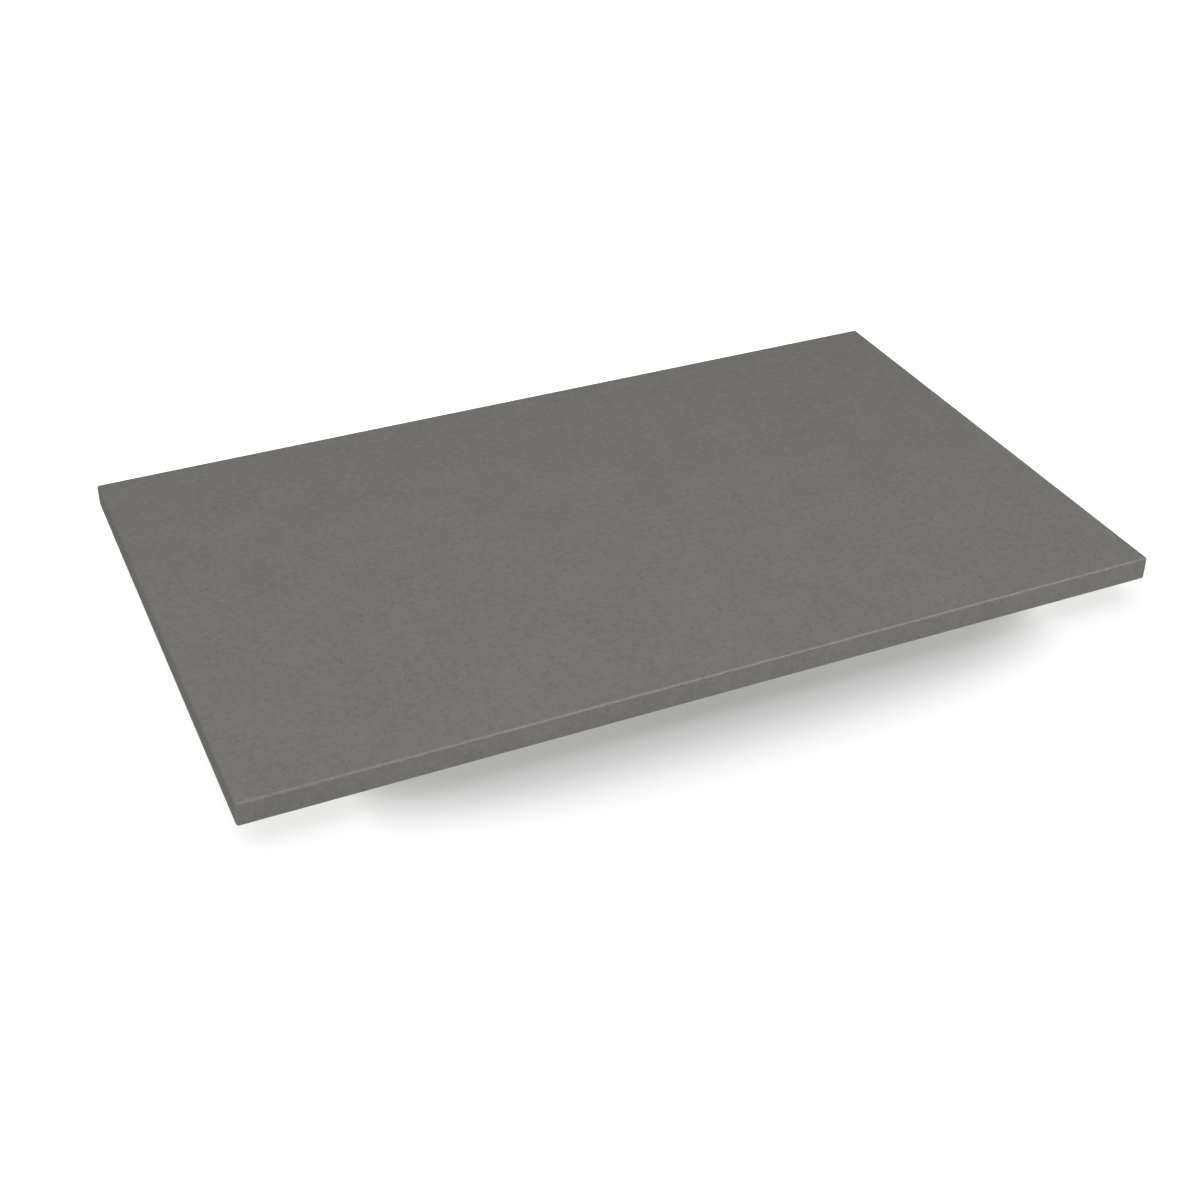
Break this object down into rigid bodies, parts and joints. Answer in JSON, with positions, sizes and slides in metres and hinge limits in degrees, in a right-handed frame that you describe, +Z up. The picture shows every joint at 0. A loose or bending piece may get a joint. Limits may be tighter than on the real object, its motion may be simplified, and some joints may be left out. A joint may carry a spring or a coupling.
{
  "type": "granite slab",
  "caption": "Rectangular honed granite slab with small eased edges, standing on rubber feet; a flat, heavy base for tooling, punching and skiving leather.",
  "frame": {"origin": "on the bench, under the middle of the slab", "axes": "+X along the slab's long side, +Z up out of the work surface; the long side that faces the worker is at -Y"},
  "size_m": [0.75, 0.46, 0.0416],
  "materials": {
    "granite": "honed, fine-grained dark warm-grey granite with low-contrast specks",
    "rubber": "matt moulded black rubber",
    "adhesive_foam": "grey double-sided foam tape, cut edge showing"
  },
  "bodies": {
    "root": {"granite_slab": "granite", "rubber_foot_front_left": "rubber", "rubber_foot_front_middle": "rubber", "rubber_foot_front_right": "rubber", "rubber_foot_back_left": "rubber", "rubber_foot_back_middle": "rubber", "rubber_foot_back_right": "rubber", "adhesive_disc_front_left": "adhesive_foam", "adhesive_disc_front_middle": "adhesive_foam", "adhesive_disc_front_right": "adhesive_foam", "adhesive_disc_back_left": "adhesive_foam", "adhesive_disc_back_middle": "adhesive_foam", "adhesive_disc_back_right": "adhesive_foam"}
  },
  "joints": []
}
